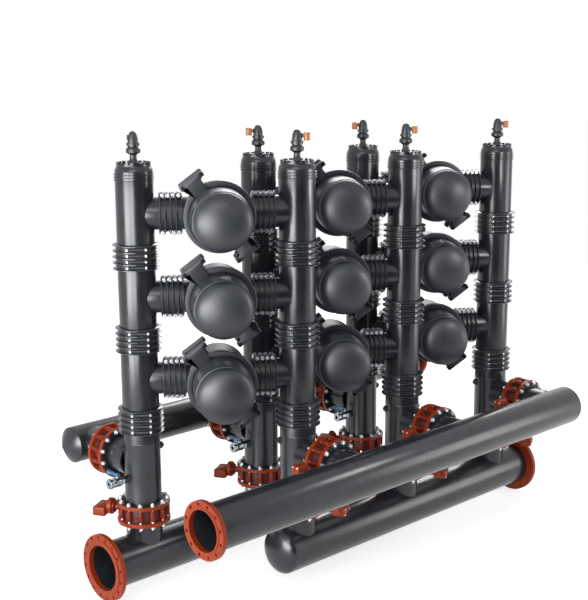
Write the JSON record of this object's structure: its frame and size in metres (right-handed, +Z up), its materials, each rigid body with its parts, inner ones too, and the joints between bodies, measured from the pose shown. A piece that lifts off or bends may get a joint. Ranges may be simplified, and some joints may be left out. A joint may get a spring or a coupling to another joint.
{
  "type": "irrigation disc filter",
  "caption": "Disc filter battery: domed filter pods hung between inlet and outlet standpipes on flanged manifolds with butterfly valves, for cleaning irrigation water.",
  "frame": {"origin": "on the floor under the middle of the battery, on the upright line it is the same half turn about", "axes": "+X along the manifolds, away from the inlet flange; +Y from the outlet row to the inlet row; +Z up"},
  "size_m": [4.416, 2.4448, 3.4253],
  "materials": {
    "charcoal_plastic": "satin",
    "flange_coat": "satin coating",
    "zinc": "zinc plated",
    "rubber": "matte",
    "cock_chrome": "plated",
    "lever_blue": "dipped",
    "outlet_orange": "moulded",
    "black_fitting": "matte",
    "disc_plastic": "grooved",
    "valve_disc_steel": "cast and machined"
  },
  "bodies": {
    "battery": {"inlet_manifold": "charcoal_plastic", "outlet_manifold": "charcoal_plastic", "backflush_manifold": "charcoal_plastic", "drain_manifold": "charcoal_plastic", "main_end_flanges": "flange_coat", "side_end_flanges": "flange_coat", "base_tees": "charcoal_plastic", "column_tees": "charcoal_plastic", "column_caps": "charcoal_plastic", "column_coupling_halves": "charcoal_plastic", "stub_coupling_halves": "charcoal_plastic", "column_coupling_bolts": "zinc", "stub_coupling_bolts": "zinc", "column_gaskets": "rubber", "stub_gaskets": "rubber", "valve_bodies": "flange_coat", "valve_seats": "rubber", "backing_rings": "flange_coat", "flange_studs": "zinc", "valve_gearboxes": "flange_coat", "gearbox_lids": "flange_coat", "base_plugs": "black_fitting", "cock_nipples": "black_fitting", "cock_bodies": "cock_chrome", "air_valve_bases": "charcoal_plastic", "air_valve_domes": "charcoal_plastic", "air_valve_outlets": "outlet_orange", "pod_bodies": "charcoal_plastic", "pod_covers": "charcoal_plastic", "pod_seals": "rubber", "pod_tie_bolts": "zinc", "filter_spines": "charcoal_plastic", "disc_stacks": "disc_plastic", "plate_springs": "zinc"},
    "inlet_valve_disc_1": {"inlet_valve_disc_1": "valve_disc_steel"},
    "drain_valve_disc_1": {"drain_valve_disc_1": "valve_disc_steel"},
    "outlet_valve_disc_1": {"outlet_valve_disc_1": "valve_disc_steel"},
    "backflush_valve_disc_1": {"backflush_valve_disc_1": "valve_disc_steel"},
    "inlet_valve_disc_2": {"inlet_valve_disc_2": "valve_disc_steel"},
    "drain_valve_disc_2": {"drain_valve_disc_2": "valve_disc_steel"},
    "outlet_valve_disc_2": {"outlet_valve_disc_2": "valve_disc_steel"},
    "backflush_valve_disc_2": {"backflush_valve_disc_2": "valve_disc_steel"},
    "inlet_valve_disc_3": {"inlet_valve_disc_3": "valve_disc_steel"},
    "drain_valve_disc_3": {"drain_valve_disc_3": "valve_disc_steel"},
    "outlet_valve_disc_3": {"outlet_valve_disc_3": "valve_disc_steel"},
    "backflush_valve_disc_3": {"backflush_valve_disc_3": "valve_disc_steel"},
    "cock_lever_1": {"cock_lever_1": "lever_blue"},
    "cock_lever_2": {"cock_lever_2": "lever_blue"},
    "cock_lever_3": {"cock_lever_3": "lever_blue"},
    "compression_plate_1_1": {"compression_plate_1_1": "charcoal_plastic"},
    "compression_plate_1_2": {"compression_plate_1_2": "charcoal_plastic"},
    "compression_plate_1_3": {"compression_plate_1_3": "charcoal_plastic"},
    "compression_plate_2_1": {"compression_plate_2_1": "charcoal_plastic"},
    "compression_plate_2_2": {"compression_plate_2_2": "charcoal_plastic"},
    "compression_plate_2_3": {"compression_plate_2_3": "charcoal_plastic"},
    "compression_plate_3_1": {"compression_plate_3_1": "charcoal_plastic"},
    "compression_plate_3_2": {"compression_plate_3_2": "charcoal_plastic"},
    "compression_plate_3_3": {"compression_plate_3_3": "charcoal_plastic"}
  },
  "joints": [
    {"name": "inlet_valve_disc_1_turn", "type": "hinge", "parent": "battery", "child": "inlet_valve_disc_1", "pos_m": [-1.665, 0.343, 0.6075], "axis": [-0.5, 0.866, 0], "range_deg": [0, 90]},
    {"name": "drain_valve_disc_1_turn", "type": "hinge", "parent": "battery", "child": "drain_valve_disc_1", "pos_m": [-1.665, 0.688, 0.9895], "axis": [1, 0, 0], "range_deg": [0, 90]},
    {"name": "outlet_valve_disc_1_turn", "type": "hinge", "parent": "battery", "child": "outlet_valve_disc_1", "pos_m": [-0.715, -0.343, 0.6075], "axis": [0.5, -0.866, 0], "range_deg": [0, 90]},
    {"name": "backflush_valve_disc_1_turn", "type": "hinge", "parent": "battery", "child": "backflush_valve_disc_1", "pos_m": [-0.715, -0.688, 0.9895], "axis": [-1, 0, 0], "range_deg": [0, 90]},
    {"name": "inlet_valve_disc_2_turn", "type": "hinge", "parent": "battery", "child": "inlet_valve_disc_2", "pos_m": [-0.475, 0.343, 0.6075], "axis": [-0.5, 0.866, 0], "range_deg": [0, 90]},
    {"name": "drain_valve_disc_2_turn", "type": "hinge", "parent": "battery", "child": "drain_valve_disc_2", "pos_m": [-0.475, 0.688, 0.9895], "axis": [1, 0, 0], "range_deg": [0, 90]},
    {"name": "outlet_valve_disc_2_turn", "type": "hinge", "parent": "battery", "child": "outlet_valve_disc_2", "pos_m": [0.475, -0.343, 0.6075], "axis": [0.5, -0.866, 0], "range_deg": [0, 90]},
    {"name": "backflush_valve_disc_2_turn", "type": "hinge", "parent": "battery", "child": "backflush_valve_disc_2", "pos_m": [0.475, -0.688, 0.9895], "axis": [-1, 0, 0], "range_deg": [0, 90]},
    {"name": "inlet_valve_disc_3_turn", "type": "hinge", "parent": "battery", "child": "inlet_valve_disc_3", "pos_m": [0.715, 0.343, 0.6075], "axis": [-0.5, 0.866, 0], "range_deg": [0, 90]},
    {"name": "drain_valve_disc_3_turn", "type": "hinge", "parent": "battery", "child": "drain_valve_disc_3", "pos_m": [0.715, 0.688, 0.9895], "axis": [1, 0, 0], "range_deg": [0, 90]},
    {"name": "outlet_valve_disc_3_turn", "type": "hinge", "parent": "battery", "child": "outlet_valve_disc_3", "pos_m": [1.665, -0.343, 0.6075], "axis": [0.5, -0.866, 0], "range_deg": [0, 90]},
    {"name": "backflush_valve_disc_3_turn", "type": "hinge", "parent": "battery", "child": "backflush_valve_disc_3", "pos_m": [1.665, -0.688, 0.9895], "axis": [-1, 0, 0], "range_deg": [0, 90]},
    {"name": "cock_lever_1_turn", "type": "hinge", "parent": "battery", "child": "cock_lever_1", "pos_m": [-1.89926, 0.343, 0.8805], "axis": [0, 0, 1], "range_deg": [0, 90]},
    {"name": "cock_lever_2_turn", "type": "hinge", "parent": "battery", "child": "cock_lever_2", "pos_m": [-0.70926, 0.343, 0.8805], "axis": [0, 0, 1], "range_deg": [0, 90]},
    {"name": "cock_lever_3_turn", "type": "hinge", "parent": "battery", "child": "cock_lever_3", "pos_m": [0.48074, 0.343, 0.8805], "axis": [0, 0, 1], "range_deg": [0, 90]},
    {"name": "compression_plate_1_1_slide", "type": "slide", "parent": "battery", "child": "compression_plate_1_1", "axis": [-0.5854, -0.8107, 0], "range_m": [0, 0.012], "stiffness_N_per_m": 8000, "springref_m": -0.02, "deforming": ["plate_springs"]},
    {"name": "compression_plate_1_2_slide", "type": "slide", "parent": "battery", "child": "compression_plate_1_2", "axis": [-0.5854, -0.8107, 0], "range_m": [0, 0.012], "stiffness_N_per_m": 8000, "springref_m": -0.02, "deforming": ["plate_springs"]},
    {"name": "compression_plate_1_3_slide", "type": "slide", "parent": "battery", "child": "compression_plate_1_3", "axis": [-0.5854, -0.8107, 0], "range_m": [0, 0.012], "stiffness_N_per_m": 8000, "springref_m": -0.02, "deforming": ["plate_springs"]},
    {"name": "compression_plate_2_1_slide", "type": "slide", "parent": "battery", "child": "compression_plate_2_1", "axis": [-0.5854, -0.8107, 0], "range_m": [0, 0.012], "stiffness_N_per_m": 8000, "springref_m": -0.02, "deforming": ["plate_springs"]},
    {"name": "compression_plate_2_2_slide", "type": "slide", "parent": "battery", "child": "compression_plate_2_2", "axis": [-0.5854, -0.8107, 0], "range_m": [0, 0.012], "stiffness_N_per_m": 8000, "springref_m": -0.02, "deforming": ["plate_springs"]},
    {"name": "compression_plate_2_3_slide", "type": "slide", "parent": "battery", "child": "compression_plate_2_3", "axis": [-0.5854, -0.8107, 0], "range_m": [0, 0.012], "stiffness_N_per_m": 8000, "springref_m": -0.02, "deforming": ["plate_springs"]},
    {"name": "compression_plate_3_1_slide", "type": "slide", "parent": "battery", "child": "compression_plate_3_1", "axis": [-0.5854, -0.8107, 0], "range_m": [0, 0.012], "stiffness_N_per_m": 8000, "springref_m": -0.02, "deforming": ["plate_springs"]},
    {"name": "compression_plate_3_2_slide", "type": "slide", "parent": "battery", "child": "compression_plate_3_2", "axis": [-0.5854, -0.8107, 0], "range_m": [0, 0.012], "stiffness_N_per_m": 8000, "springref_m": -0.02, "deforming": ["plate_springs"]},
    {"name": "compression_plate_3_3_slide", "type": "slide", "parent": "battery", "child": "compression_plate_3_3", "axis": [-0.5854, -0.8107, 0], "range_m": [0, 0.012], "stiffness_N_per_m": 8000, "springref_m": -0.02, "deforming": ["plate_springs"]}
  ]
}
